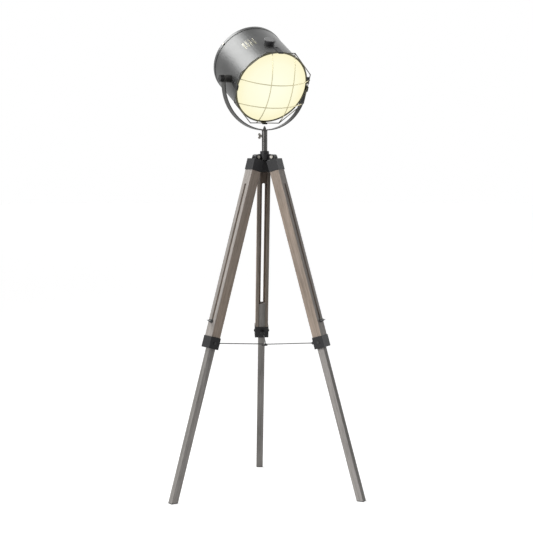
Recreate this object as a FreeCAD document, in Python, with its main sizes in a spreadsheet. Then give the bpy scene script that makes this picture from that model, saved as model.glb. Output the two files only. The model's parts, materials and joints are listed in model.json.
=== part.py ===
import FreeCAD, Part
import math
import os
import re
import Sketcher

# Tripod spotlight floor lamp, millimetres and degrees.
# Origin on the floor under the middle of the lamp's outline, +Z up, the rear leg towards +Y.
# A leg's own frame: X across the leg, Y square to it and outward, Z up along it, zero at its hinge.
# The head's own frame: X along the tilt axis, Y towards the drum's top, Z out of the lens.

SIZES = (
    ("pivot_height", 1094.6, "leg hinges above the floor"),
    ("pivot_radius", 32, "leg hinges from the tripod's axis"),
    ("leg_angle", 16.2, "spread of each leg from upright"),
    ("upper_width", 42, "upper leg across"),
    ("upper_top", 11.4, "hinge to the upper leg's top end"),
    ("web", 8, "outer wall of the upper leg's channel"),
    ("slide_gap", 0.3, "between the lower leg and its channel"),
    ("channel_lip", 1.4, "channel's sides beyond the lower leg's inner face"),
    ("slot_width", 9, "slot through the web"),
    ("lower_size", 22, "square section of the lower leg"),
    ("lower_reach", 36, "lower leg above its wing screw"),
    ("screw_at", 549, "hinge to the wing screw, legs pulled out"),
    ("travel", 440, "how far a lower leg slides in"),
    ("slot_spare", 12, "slot beyond the wing screw's travel"),
    ("pad_thick", 2, "foot pad"),
    ("cap_top", 9.2, "hinge to the top of the leg cap"),
    ("cap_length", 37, "leg cap"),
    ("cap_wall", 1.5, "leg cap's sides"),
    ("cap_roof", 2, "leg cap's top"),
    ("fit_gap", 0.1, "between a leg and the metal round it"),
    ("ear_thick", 4, "leg cap's ears"),
    ("ear_radius", 8.5, "round end of the ears and of the hub's arms"),
    ("arm_width", 14, "hub's arm between two ears"),
    ("arm_gap", 0.2, "between arm and ear"),
    ("sleeve_at", 596.5, "hinge to the top of the bottom sleeve"),
    ("sleeve_length", 38, "bottom sleeve"),
    ("sleeve_wall", 2, "bottom sleeve's sides"),
    ("sleeve_floor", 3, "bottom sleeve's floor"),
    ("hub_radius", 20, "hub's middle"),
    ("hub_height", 19, "hub's middle"),
    ("post_radius", 9, "post tube outside"),
    ("post_wall", 1.5, "post tube"),
    ("post_in_hub", 12, "post tube inside the hub"),
    ("post_above", 74.3, "post tube above the hub"),
    ("collar_radius", 14.5, "collar round the post's foot"),
    ("collar_height", 10, "collar"),
    ("running_gap", 0.08, "shaft in a hole it turns in"),
    ("bolt_radius", 3, "leg hinge bolt and leg wing screw"),
    ("bolt_head", 5.5, "leg hinge bolt's hexagon, to its corners"),
    ("bolt_head_high", 4, "leg hinge bolt's head and nut"),
    ("spigot_radius", 7.42, "yoke's spigot inside the post"),
    ("spigot_length", 55, "yoke's spigot inside the post"),
    ("flange_thick", 1.7, "spigot's flange, between post and yoke"),
    ("stud_radius", 3, "spigot's stud through the yoke"),
    ("nut_radius", 4.7, "cap nut's hexagon, to its corners"),
    ("nut_high", 5, "cap nut's hexagon"),
    ("nut_dome", 6, "cap nut's dome"),
    ("post_screw_down", 16.4, "post tube's top to its wing screw"),
    ("post_screw_radius", 2.5, "post's wing screw"),
    ("yoke_clear", 21, "drum to the inside of the yoke"),
    ("yoke_thick", 3, "yoke's strap"),
    ("yoke_width", 25, "yoke's strap"),
    ("yoke_straight", 17.4, "yoke's arms above its bend, to the tilt axis"),
    ("head_turn", 22.8, "head turned to the lamp's left as stored"),
    ("head_tilt", 28, "lens below level as stored"),
    ("drum_radius", 122.5, "drum outside"),
    ("drum_wall", 1, "drum sheet"),
    ("drum_front", 51, "tilt axis to the drum's front edge"),
    ("drum_back", 135.5, "tilt axis to the drum's rear edge"),
    ("vent_width", 5.6, "vent slot"),
    ("vent_length", 42, "vent slot"),
    ("vent_at", 40.8, "tilt axis back to the vents' middle"),
    ("vent_first", 22, "first vent round from the drum's top"),
    ("vent_step", 5.5, "from vent to vent"),
    ("lid_wall", 1, "rear lid"),
    ("lid_skirt", 12, "rear lid's skirt"),
    ("lid_bulge", 4, "rear lid's raised middle"),
    ("seat_gap", 0.15, "between ring, lid and drum"),
    ("bezel_flare", 1.8, "front ring's widest part beyond the drum"),
    ("bezel_lip", 4, "front ring's opening inside the drum's edge"),
    ("bezel_wall", 1.2, "front ring's sheet"),
    ("bezel_skirt", 15, "front ring behind the drum's edge"),
    ("lens_inset", 1.5, "diffuser's edge inside the drum's edge"),
    ("lens_thick", 3, "diffuser"),
    ("lens_dome", 6, "diffuser's crown"),
    ("gasket_high", 4, "gasket between drum and diffuser"),
    ("gasket_lip", 6.5, "gasket inside the diffuser's edge"),
    ("guard_at", 66.4, "tilt axis to the guard's octagon"),
    ("guard_out", 11, "guard's octagon corners beyond the drum"),
    ("guard_wire", 1.5, "guard wire's radius"),
    ("guard_rise", 49, "guard's crown above its octagon"),
    ("wire_right", 50, "upright guard wire, right of the middle"),
    ("wire_left", -30, "upright guard wire, left of the middle"),
    ("wire_low", -50, "level guard wire below the middle"),
    ("wire_high", 31, "level guard wire above the middle"),
    ("clip_width", 17, "guard clip"),
    ("clip_thick", 1.6, "guard clip"),
    ("clip_foot", 12, "guard clip on the drum"),
    ("clip_screw", 2, "guard clip screw's radius"),
    ("vent_cap_radius", 19, "round vent cap on the drum"),
    ("vent_cap_high", 14, "round vent cap"),
    ("vent_cap_back", 9, "tilt axis back to the vent cap"),
    ("vent_cap_turn", 3.5, "vent cap round from the drum's top"),
    ("tilt_bolt_radius", 4, "tilt bolt"),
    ("tilt_head_radius", 7.4, "tilt bolt's hexagon, to its corners"),
    ("tilt_head_high", 5, "tilt bolt's head"),
    ("spacer_radius", 13, "bush between drum and yoke"),
    ("face_gap", 0.2, "between faces that turn on each other"),
    ("knob_radius", 9.5, "tilt knob's core"),
    ("knob_high", 12, "tilt knob"),
    ("knob_lobe", 2.6, "tilt knob's lobes"),
    ("holder_radius", 20, "lamp holder"),
    ("holder_length", 42, "lamp holder"),
    ("holder_bore", 14.4, "lamp holder's mouth"),
    ("holder_floor", 14, "lamp holder's solid end"),
    ("shell_wall", 0.5, "lamp holder's screw shell"),
    ("bulb_cap_radius", 13.2, "bulb's screw cap"),
    ("bulb_cap_length", 25, "bulb's screw cap"),
    ("bulb_radius", 30, "bulb's globe"),
    ("bulb_length", 82, "bulb's glass"),
    ("bracket_width", 30, "lamp holder's bracket"),
    ("bracket_span", 64, "lamp holder's bracket"),
    ("bracket_high", 12, "lamp holder's bracket"),
    ("bracket_thick", 2, "lamp holder's bracket"),
    ("gland_radius", 8, "cable gland"),
    ("gland_bore", 3.6, "cable gland's bore"),
    ("gland_rise", 50.5, "cable gland above the drum's lowest line"),
    ("small_screw", 1.75, "small screws' radius"),
    ("rod_radius", 1.5, "spreader rod"),
    ("rod_drop", 15, "spreader's middle below its outer pins"),
    ("rod_end", 4, "spreader rod's inner end from the tripod's axis"),
    ("rod_ball", 2.4, "spreader rod's rounded inner end"),
    ("eye_radius", 5, "spreader rod's eye"),
    ("eye_thick", 3.6, "spreader rod's eye"),
    ("pin_radius", 2, "spreader pin"),
    ("pin_at", 613, "hinge to the spreader pin"),
    ("pin_out", 9, "spreader pin from the sleeve's inner face"),
    ("lug_thick", 4, "sleeve's lug"),
    ("plate_radius", 10, "spreader's middle plate"),
    ("plate_thick", 2, "spreader's middle plate"),
    ("plate_gap", 0.3, "between the rod ends and the middle plate"),
)

# Sizes that follow from the driving ones.
DERIVED = {
    "bezel_radius": "(drum_radius + bezel_flare)",
    "bezel_mouth": "(drum_radius - bezel_lip)",
    "lens_radius": "(drum_radius - lens_inset)",
    "gasket_mouth": "(lens_radius - gasket_lip)",
    "guard_radius": "(drum_radius + guard_out)",
    "yoke_radius": "(drum_radius + yoke_clear + yoke_thick / 2)",
    "gland_drop": "(drum_radius - gland_rise)",
    "post_top": "(pivot_height + hub_height / 2 + post_above)",
    "post_screw_at": "(post_top - post_screw_down)",
    "channel": "(lower_size + 2 * slide_gap)",
    "upper_depth": "(web + channel + channel_lip)",
    "lower_y": "(upper_depth / 2 - web - slide_gap - lower_size / 2)",
    "lower_out": "(lower_y + lower_size / 2)",
    "lower_in": "(lower_y - lower_size / 2)",
    "foot_out": "(pivot_radius + pivot_height * tan(leg_angle) + lower_out / cos(leg_angle))",
    "axis_y": "((lower_size * cos(30) - foot_out) / 4)",
    "sleeve_half_x": "(upper_width / 2 + fit_gap + sleeve_wall)",
    "sleeve_half_y": "(upper_depth / 2 + fit_gap + sleeve_wall)",
    "cap_half_x": "(upper_width / 2 + fit_gap + cap_wall)",
    "cap_half_y": "(upper_depth / 2 + fit_gap + cap_wall)",
    "ear_in": "(arm_width / 2 + arm_gap)",
    "ear_out": "(arm_width / 2 + arm_gap + ear_thick)",
    "yoke_in": "(yoke_radius - yoke_thick / 2)",
    "yoke_out": "(yoke_radius + yoke_thick / 2)",
    "tilt_height": "(post_top + flange_thick + yoke_out + yoke_straight)",
    "drum_in": "(drum_radius - drum_wall)",
    "lid_out": "(drum_radius + seat_gap + lid_wall)",
    "bezel_in": "(drum_radius + seat_gap)",
    "bezel_out": "(drum_radius + seat_gap + bezel_wall)",
    "strap_rise": "(yoke_in - sqrt(yoke_in * yoke_in - nut_radius * nut_radius))",
    "nut_seat": "(post_top + flange_thick + yoke_thick + strap_rise)",
    "guard_side": "(guard_radius * cos(22.5))",
    "lens_back": "(drum_front + gasket_high)",
    "bezel_seat": "(lens_back + lens_thick + 2 * seat_gap)",
    "bezel_nose": "(bezel_seat + bezel_wall)",
    "spacer_out": "(yoke_in - face_gap)",
    "lid_inner": "(drum_back + lid_bulge)",
    "bracket_back": "(lid_inner - bracket_thick)",
    "bracket_bolt": "(bracket_span / 2 - small_screw * 2 - 0.5)",
    "holder_back": "(lid_inner - bracket_high)",
    "holder_front": "(holder_back - holder_length)",
    "bulb_cap_back": "(holder_back - holder_floor - 1)",
    "bulb_cap_front": "(bulb_cap_back - bulb_cap_length)",
    "pin_y": "(-sleeve_half_y - pin_out)",
    "pin_r": "(pivot_radius + pin_at * sin(leg_angle) + pin_y * cos(leg_angle))",
    "pin_z": "(pivot_height - pin_at * cos(leg_angle) + pin_y * sin(leg_angle))",
    "rod_x": "(lug_thick / 2 + face_gap + eye_thick / 2)",
    "rod_angle": "atan(rod_drop / pin_r)",
    "rod_length": "((pin_r - rod_end) / cos(rod_angle))",
}

LEGS = (("rear", 0), ("left", 120), ("right", 240))

doc = FreeCAD.newDocument("tripod_lamp")
sheet = doc.addObject("Spreadsheet::Sheet", "sizes")
nodes = []


def fill_sheet():
    """One row for each driving size: its name, its value and what it measures."""
    for row, (name, value, note) in enumerate(SIZES, start=1):
        sheet.set("A%d" % row, name)
        sheet.set("B%d" % row, str(value))
        sheet.set("C%d" % row, note)
        sheet.setAlias("B%d" % row, name)
    doc.recompute()


def expand(text):
    """Write a size formula out in the sheet's cells."""
    names = {name for name, value, note in SIZES}

    def swap(match):
        word = match.group(0)
        if word in DERIVED:
            return expand(DERIVED[word])
        return "sizes." + word if word in names else word

    return re.sub(r"(?<![\w.])[a-z_]+\b(?!\()", swap, str(text))


def value(text):
    """The present value of a size formula."""
    result = sheet.evalExpression(expand(text))
    return float(getattr(result, "Value", result))


def bind(item, **formulas):
    """Tie properties to size formulas."""
    for name, text in formulas.items():
        item.setExpression(name, expand(text))


def place(item, x="0", y="0", z="0", turn=None):
    """Tie an object's place; turn is (axis, angle)."""
    axis, angle = turn or ("0;0;1", "0")
    spot = "vector(%s;%s;%s)" % (expand(x), expand(y), expand(z))
    item.setExpression("Placement", "placement(%s; rotation(vector(%s); %s))" % (spot, axis, expand(angle)))
    return item


TO_X = ("0;1;0", "90")
TO_MINUS_X = ("0;1;0", "-90")
TO_Y = ("1;0;0", "-90")
TO_MINUS_Y = ("1;0;0", "90")


def box(name, x, y, z):
    """A box from its (low, high) formulas along each axis."""
    item = doc.addObject("Part::Box", name)
    sides = dict(Length=x, Width=y, Height=z)
    bind(item, **{key: "(%s) - (%s)" % (high, low) for key, (low, high) in sides.items()})
    return place(item, x[0], y[0], z[0])


def rod(name, radius, height, x="0", y="0", z="0", turn=None):
    """A cylinder standing on a point, along Z unless turned."""
    item = doc.addObject("Part::Cylinder", name)
    bind(item, Radius=radius, Height=height)
    return place(item, x, y, z, turn)


def hexagon(name, radius, height, x="0", y="0", z="0", turn=None):
    """A hexagonal prism standing on a point, along Z unless turned."""
    item = doc.addObject("Part::Prism", name)
    item.Polygon = 6
    bind(item, Circumradius=radius, Height=height)
    return place(item, x, y, z, turn)


def ball(name, radius, x="0", y="0", z="0"):
    item = doc.addObject("Part::Sphere", name)
    bind(item, Radius=radius)
    return place(item, x, y, z)


def fuse(name, shapes):
    item = doc.addObject("Part::MultiFuse", name)
    item.Shapes = shapes
    return item


def cut(name, base, tools):
    """The base less its tools."""
    item = doc.addObject("Part::Cut", name)
    item.Base = base
    item.Tool = tools[0] if len(tools) == 1 else fuse(name + "_tools", tools)
    return item


def common(name, base, tool):
    item = doc.addObject("Part::Common", name)
    item.Base = base
    item.Tool = tool
    return item


def group(name, shapes):
    """Like fasteners that stay separate solids."""
    item = doc.addObject("Part::Compound", name)
    item.Links = shapes
    return item


def sketch(body, name, plane, points):
    """A closed outline of straight runs through (x, y) formulas on one of the body's planes."""
    item = body.newObject("Sketcher::SketchObject", name)
    face = [feature for feature in body.Origin.OriginFeatures if feature.Role == plane][0]
    item.AttachmentSupport = [(face, "")]
    item.MapMode = "FlatFace"
    spots = [FreeCAD.Vector(value(x), value(y), 0) for x, y in points]
    count = len(spots)
    for index in range(count):
        item.addGeometry(Part.LineSegment(spots[index], spots[(index + 1) % count]))
    for index in range(count):
        item.addConstraint(Sketcher.Constraint("Coincident", index, 2, (index + 1) % count, 1))
    for index, (x, y) in enumerate(points):
        for kind, text, spot in (("DistanceX", x, spots[index].x), ("DistanceY", y, spots[index].y)):
            number = item.addConstraint(Sketcher.Constraint(kind, -1, 1, index, 1, spot))
            item.setExpression("Constraints[%d]" % number, expand(text))
    return item


def turned(name, points):
    """A body turned about Z from an outline of (radius, height)."""
    body = doc.addObject("PartDesign::Body", name)
    outline = sketch(body, name + "_outline", "XZ_Plane", points)
    feature = body.newObject("PartDesign::Revolution", name + "_turned")
    feature.Profile = outline
    feature.ReferenceAxis = (outline, ["V_Axis"])
    feature.Angle = 360
    body.Tip = feature
    return body


def padded(name, plane, points, length):
    """A body from an outline, padded by half its length to each side."""
    body = doc.addObject("PartDesign::Body", name)
    outline = sketch(body, name + "_outline", plane, points)
    feature = body.newObject("PartDesign::Pad", name + "_pad")
    feature.Profile = outline
    feature.Midplane = True
    bind(feature, Length=length)
    body.Tip = feature
    return body


def node(item, label, frame):
    """Name a finished piece and set it in its frame."""
    item.Label = label
    item.setExpression("Placement", frame)
    nodes.append(item)


def frame_of(x, y, z, *turns):
    """A placement formula: a point, then turns in order."""
    text = "placement(vector(%s;%s;%s); rotation(vector(0;0;1); 0))" % (expand(x), expand(y), expand(z))
    for axis, angle in turns:
        text += " * placement(vector(0;0;0); rotation(vector(%s); %s))" % (axis, expand(angle))
    return text


STAND = frame_of("0", "axis_y", "0")
YOKE = frame_of("0", "axis_y", "tilt_height", ("0;0;1", "head_turn"))
HEAD = frame_of("0", "axis_y", "tilt_height", ("0;0;1", "head_turn"), ("1;0;0", "90 + head_tilt"))


def leg_frame(azimuth):
    hinge = "placement(vector(0; %s; 0); rotation(vector(1;0;0); %s))"
    hinge = hinge % (expand("pivot_radius"), expand("leg_angle"))
    return frame_of("0", "axis_y", "pivot_height", ("0;0;1", azimuth)) + " * " + hinge


def rod_frame(azimuth):
    hinge = "placement(vector(%s; %s; 0); rotation(vector(1;0;0); %s))"
    hinge = hinge % (expand("rod_x"), expand("pin_r"), expand("rod_angle"))
    return frame_of("0", "axis_y", "pin_z", ("0;0;1", azimuth)) + " * " + hinge


def wing_screw(name, radius, reach, flange, span):
    """A wing screw along Z, its shank below zero and its flange on zero."""
    shank = rod(name + "_shank", radius, reach, z="-(%s)" % reach)
    washer = rod(name + "_washer", flange, "1.4")
    core = doc.addObject("Part::Cone", name + "_core")
    bind(core, Radius1="%s * 0.8" % flange, Radius2="%s * 0.55" % flange, Height=span + " / 2")
    wings = []
    for side, sign in (("a", "-1"), ("b", "1")):
        wing = rod(name + "_wing_" + side, span + " * 0.24", "2.4", turn=TO_Y)
        place(wing, "%s * %s * 0.28" % (sign, span), "-1.2", span + " * 0.38", TO_Y)
        wings.append(wing)
    return fuse(name, [shank, washer, core] + wings)


# ---- stand ----

def make_hub():
    middle = rod("hub_middle", "hub_radius", "hub_height", z="pivot_height - hub_height / 2")
    arms = []
    for name, azimuth in LEGS:
        bar = box("hub_bar_" + name, ("-arm_width / 2", "arm_width / 2"), ("0", "pivot_radius"),
                  ("-ear_radius", "ear_radius"))
        end = rod("hub_end_" + name, "ear_radius", "arm_width", "-arm_width / 2", "pivot_radius", "0", TO_X)
        hole = rod("hub_hole_" + name, "bolt_radius + running_gap", "arm_width + 2",
                   "-arm_width / 2 - 1", "pivot_radius", "0", TO_X)
        arm = cut("hub_arm_" + name, fuse("hub_solid_" + name, [bar, end]), [hole])
        arm.setExpression("Placement", frame_of("0", "0", "pivot_height", ("0;0;1", azimuth)))
        arms.append(arm)
    bore = rod("hub_bore", "post_radius + fit_gap", "post_in_hub + 1",
               z="pivot_height + hub_height / 2 - post_in_hub")
    node(cut("hub_body", fuse("hub_blank", [middle] + arms), [bore]), "hub", STAND)


def make_post():
    base = "(pivot_height + hub_height / 2)"
    foot = "(%s - post_in_hub)" % base
    tube = rod("tube_outer", "post_radius", "post_top - %s" % foot, z=foot)
    bore = rod("tube_bore", "post_radius - post_wall", "post_top - %s + 2" % foot, z="%s - 1" % foot)
    port = rod("tube_port", "post_screw_radius + running_gap", "post_radius + 1", z="post_screw_at",
               turn=TO_MINUS_X)
    node(cut("tube", tube, [bore, port]), "post_tube", STAND)
    collar = turned("collar", [
        ("post_radius + fit_gap", base),
        ("collar_radius", base),
        ("collar_radius", base + " + collar_height - 2"),
        ("collar_radius - 2", base + " + collar_height"),
        ("post_radius + fit_gap", base + " + collar_height"),
    ])
    node(collar, "post_collar", STAND)


def make_post_screw():
    screw = wing_screw("post_screw_body", "post_screw_radius", "post_radius - spigot_radius - fit_gap + 1",
                       "5", "18")
    frame = frame_of("-(post_radius + 1)", "axis_y", "post_screw_at", ("0;1;0", "-90"))
    node(screw, "post_wing_screw", frame)


def make_hinge_bolts():
    bolts = []
    for name, azimuth in LEGS:
        shank = rod("hinge_shank_" + name, "bolt_radius", "2 * ear_out", "-ear_out", "0", "0", TO_X)
        head = hexagon("hinge_head_" + name, "bolt_head", "bolt_head_high", "ear_out", "0", "0", TO_X)
        nut = hexagon("hinge_nut_" + name, "bolt_head", "bolt_head_high", "-ear_out", "0", "0", TO_MINUS_X)
        bolt = fuse("hinge_bolt_" + name, [shank, head, nut])
        hinge = "placement(vector(0; %s; 0); rotation(vector(0;0;1); 0))" % expand("pivot_radius")
        frame = frame_of("0", "0", "pivot_height", ("0;0;1", azimuth)) + " * " + hinge
        bolt.setExpression("Placement", frame)
        bolts.append(bolt)
    node(group("hinge_bolts", bolts), "leg_hinge_bolts", STAND)


# ---- one leg ----

def make_leg_cap(side, azimuth):
    low = "-(cap_top + cap_length)"
    shell = box(side + "_cap_shell", ("-cap_half_x", "cap_half_x"), ("-cap_half_y", "cap_half_y"),
                (low, "-cap_top"))
    half_x = "(cap_half_x - cap_wall)"
    half_y = "(cap_half_y - cap_wall)"
    hollow = box(side + "_cap_hollow", ("-" + half_x, half_x), ("-" + half_y, half_y),
                 (low + " - 1", "-(cap_top + cap_roof)"))
    pieces = [cut(side + "_cap_box", shell, [hollow])]
    holes = []
    for ear, start in (("a", "-ear_out"), ("b", "ear_in")):
        pieces.append(box(side + "_ear_bar_" + ear, (start, start + " + ear_thick"),
                          ("-ear_radius", "ear_radius"), ("-cap_top", "0")))
        pieces.append(rod(side + "_ear_end_" + ear, "ear_radius", "ear_thick", start, "0", "0", TO_X))
        holes.append(rod(side + "_ear_hole_" + ear, "bolt_radius + running_gap", "ear_thick + 2",
                         start + " - 1", "0", "0", TO_X))
    node(cut(side + "_cap", fuse(side + "_cap_blank", pieces), holes), side + "_leg_cap", leg_frame(azimuth))


def make_upper_leg(side, azimuth):
    """A channel open towards the tripod's axis, with a long slot through its outer wall."""
    bottom = "-(sleeve_at + sleeve_length - sleeve_floor)"
    rail = "(upper_width / 2)"
    groove = "(channel / 2)"
    inner = "(-upper_depth / 2)"
    web = "(upper_depth / 2 - web)"
    body = doc.addObject("PartDesign::Body", side + "_upper")
    outline = sketch(body, side + "_upper_outline", "XY_Plane", [
        ("-" + rail, inner), ("-" + groove, inner), ("-" + groove, web), (groove, web),
        (groove, inner), (rail, inner), (rail, "upper_depth / 2"), ("-" + rail, "upper_depth / 2"),
    ])
    pad = body.newObject("PartDesign::Pad", side + "_upper_pad")
    pad.Profile = outline
    pad.Reversed = True
    bind(pad, Length="-(%s)" % bottom)
    body.Tip = pad
    top = box(side + "_upper_clear", ("-upper_width", "upper_width"), ("-upper_depth", "upper_depth"),
              ("-upper_top", "upper_top"))
    slot_low = "(-screw_at)"
    slot_high = "(travel + slot_spare - screw_at)"
    slot = [box(side + "_slot_run", ("-slot_width / 2", "slot_width / 2"), ("0", "upper_depth"),
                (slot_low, slot_high))]
    for end, at in (("low", slot_low), ("high", slot_high)):
        slot.append(rod(side + "_slot_" + end, "slot_width / 2", "upper_depth", "0", "0", at, TO_Y))
    node(cut(side + "_upper_cut", body, [top] + slot), side + "_upper_leg", leg_frame(azimuth))


def floor_z(y, height):
    """Where a leg's line at y meets a level plane at a height above the floor."""
    return "((%s - pivot_height - (%s) * sin(leg_angle)) / cos(leg_angle))" % (height, y)


def make_lower_leg(side, azimuth):
    top = "(lower_reach - screw_at)"
    body = padded(side + "_lower", "YZ_Plane", [
        ("lower_in", floor_z("lower_in", "pad_thick")), ("lower_out", floor_z("lower_out", "pad_thick")),
        ("lower_out", top), ("lower_in", top),
    ], "lower_size")
    hole = rod(side + "_lower_hole", "bolt_radius + running_gap", "lower_size * 0.7",
               "0", "lower_out - lower_size * 0.65", "-screw_at", TO_Y)
    node(cut(side + "_lower_cut", body, [hole]), side + "_lower_leg", leg_frame(azimuth))
    pad = padded(side + "_pad", "YZ_Plane", [
        ("lower_in", floor_z("lower_in", "0")), ("lower_out", floor_z("lower_out", "0")),
        ("lower_out", floor_z("lower_out", "pad_thick")), ("lower_in", floor_z("lower_in", "pad_thick")),
    ], "lower_size")
    node(pad, side + "_foot_pad", leg_frame(azimuth))


def make_leg_screw(side, azimuth):
    reach = "(upper_depth / 2 + face_gap - lower_out + lower_size * 0.6)"
    screw = wing_screw(side + "_screw_body", "bolt_radius", reach, "7", "24")
    seat = " * placement(vector(0; %s; %s); rotation(vector(1;0;0); -90))"
    seat = seat % (expand("upper_depth / 2 + face_gap"), expand("-screw_at"))
    node(screw, side + "_leg_wing_screw", leg_frame(azimuth) + seat)


def make_sleeve(side, azimuth):
    low = "-(sleeve_at + sleeve_length)"
    shell = box(side + "_sleeve_shell", ("-sleeve_half_x", "sleeve_half_x"),
                ("-sleeve_half_y", "sleeve_half_y"),
                (low, "-sleeve_at"))
    half_x = "(sleeve_half_x - sleeve_wall)"
    half_y = "(sleeve_half_y - sleeve_wall)"
    lug = box(side + "_lug_bar", ("-lug_thick / 2", "lug_thick / 2"), ("pin_y", "-sleeve_half_y + 1"),
              ("-pin_at - eye_radius", "-pin_at + eye_radius"))
    lug_end = rod(side + "_lug_end", "eye_radius", "lug_thick", "-lug_thick / 2", "pin_y", "-pin_at", TO_X)
    hollow = box(side + "_sleeve_hollow", ("-" + half_x, half_x), ("-" + half_y, half_y),
                 (low + " + sleeve_floor", "-sleeve_at + 1"))
    mouth = box(side + "_sleeve_mouth", ("-channel / 2", "channel / 2"),
                ("lower_in - slide_gap", "lower_out + slide_gap"),
                (low + " - 1", low + " + sleeve_floor + 1"))
    lug_hole = rod(side + "_lug_hole", "pin_radius + fit_gap", "lug_thick + 2", "-lug_thick / 2 - 1",
                   "pin_y", "-pin_at", TO_X)
    holes = []
    for end, turn, start in (("a", TO_X, "upper_width / 2"), ("b", TO_MINUS_X, "-upper_width / 2")):
        holes.append(rod(side + "_sleeve_port_" + end, "small_screw + fit_gap", "sleeve_wall + 2",
                         start, "0", "-(sleeve_at + sleeve_length / 2)", turn))
    blank = fuse(side + "_sleeve_blank", [shell, lug, lug_end])
    node(cut(side + "_sleeve", blank, [hollow, mouth, lug_hole] + holes), side + "_clamp_sleeve",
         leg_frame(azimuth))


def make_sleeve_screws(side, azimuth):
    """Two dome-headed screws, one in each side of the sleeve."""
    screws = []
    for end, turn, face, root in (("a", TO_X, "sleeve_half_x", "upper_width / 2 + fit_gap"),
                                  ("b", TO_MINUS_X, "-sleeve_half_x", "-(upper_width / 2 + fit_gap)")):
        at = "-(sleeve_at + sleeve_length / 2)"
        head = rod(side + "_sleeve_head_" + end, "small_screw * 2.2", "3", face, "0", at, turn)
        shank = rod(side + "_sleeve_shank_" + end, "small_screw", "sleeve_wall", root, "0", at, turn)
        screws.append(fuse(side + "_sleeve_screw_" + end, [head, shank]))
    node(group(side + "_sleeve_pair", screws), side + "_sleeve_screws", leg_frame(azimuth))


def make_spreader_pin(side, azimuth):
    far = "(lug_thick / 2 + face_gap + eye_thick + face_gap)"
    head = rod(side + "_pin_head", "pin_radius * 2", "2.4", "-lug_thick / 2", "pin_y", "-pin_at", TO_MINUS_X)
    shank = rod(side + "_pin_shank", "pin_radius", "lug_thick / 2 + " + far, "-lug_thick / 2", "pin_y",
                "-pin_at", TO_X)
    nut = hexagon(side + "_pin_nut", "pin_radius * 2.1", "3.4", far, "pin_y", "-pin_at", TO_X)
    node(fuse(side + "_pin", [head, shank, nut]), side + "_spreader_pin", leg_frame(azimuth))


def make_spreader_rod(side, azimuth):
    """A thin rod from its eye at the sleeve to the tripod's axis."""
    eye = rod(side + "_rod_eye", "eye_radius", "eye_thick", "-eye_thick / 2", "0", "0", TO_X)
    bar = rod(side + "_rod_bar", "rod_radius", "rod_length", turn=TO_MINUS_Y)
    end = ball(side + "_rod_end", "rod_ball", "0", "-rod_length", "0")
    hole = rod(side + "_rod_hole", "pin_radius + running_gap", "eye_thick + 2", "-eye_thick / 2 - 1", "0",
               "0", TO_X)
    blank = fuse(side + "_rod_blank", [eye, bar, end])
    node(cut(side + "_rod", blank, [hole]), side + "_spreader_rod", rod_frame(azimuth))


def make_spreader_plate():
    """The plate that the rods meet on; it rides on the rear rod and is cut back from the left rod's path."""
    top = "(pin_z - rod_drop - rod_ball - plate_gap)"
    disc = rod("plate_disc", "plate_radius", "plate_thick", z=top + " - plate_thick")
    side = box("plate_side", ("-2 * plate_radius", "rod_x - rod_ball"),
               ("rod_end - rod_ball", "2 * plate_radius"),
               (top + " - plate_thick - 1", top + " + 1"))
    node(cut("plate", disc, [side]), "spreader_plate", STAND)


# ---- yoke ----

def make_yoke():
    """A flat strap bent to a U, its arm ends round about the tilt axis."""
    down = "(-yoke_straight)"
    disc = rod("yoke_disc", "yoke_out", "yoke_width", "0", "yoke_width / 2", down, TO_MINUS_Y)
    hole = rod("yoke_disc_hole", "yoke_in", "yoke_width + 2", "0", "yoke_width / 2 + 1", down, TO_MINUS_Y)
    lower = box("yoke_lower", ("-yoke_out", "yoke_out"), ("-yoke_width", "yoke_width"),
                (down + " - yoke_out - 1", down))
    pieces = [common("yoke_bend", cut("yoke_ring", disc, [hole]), lower)]
    tools = []
    for side, low, high, turn in (("left", "-yoke_out", "-yoke_in", TO_X),
                                  ("right", "yoke_in", "yoke_out", TO_X)):
        pieces.append(box("yoke_arm_" + side, (low, high), ("-yoke_width / 2", "yoke_width / 2"),
                          (down, "0")))
        pieces.append(rod("yoke_end_" + side, "yoke_width / 2", "yoke_thick", low, "0", "0", turn))
        tools.append(rod("yoke_hole_" + side, "tilt_bolt_radius + running_gap", "yoke_thick + 2",
                         low + " - 1", "0", "0", turn))
    tools.append(rod("yoke_stud_hole", "stud_radius + fit_gap", "yoke_thick + 4", z=down + " - yoke_out - 2"))
    node(cut("yoke_cut", fuse("yoke_blank", pieces), tools), "yoke_strap", YOKE)


def make_spigot():
    foot = "post_top - spigot_length"
    spigot = turned("spigot", [
        ("0", foot), ("spigot_radius", foot), ("spigot_radius", "post_top + 0.1"),
        ("post_radius + 0.5", "post_top + 0.1"), ("post_radius + 0.5", "post_top + flange_thick"),
        ("stud_radius", "post_top + flange_thick"), ("stud_radius", "nut_seat + nut_high"),
        ("0", "nut_seat + nut_high"),
    ])
    node(spigot, "yoke_spigot", STAND)
    seat = "nut_seat"
    hexa = hexagon("nut_hex", "nut_radius", "nut_high", z=seat)
    core = turned("nut_dome_body", [
        ("0", seat), ("nut_radius * 0.83", seat), ("nut_radius * 0.83", seat + " + nut_high"),
        ("nut_radius * 0.72", seat + " + nut_high + nut_dome * 0.4"),
        ("nut_radius * 0.45", seat + " + nut_high + nut_dome * 0.8"), ("0", seat + " + nut_high + nut_dome"),
    ])
    bore = rod("nut_bore", "stud_radius + running_gap", "nut_high + 1", z=seat + " - 0.5")
    node(cut("nut_cut", fuse("nut_blank", [hexa, core]), [bore]), "yoke_cap_nut", STAND)


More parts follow.
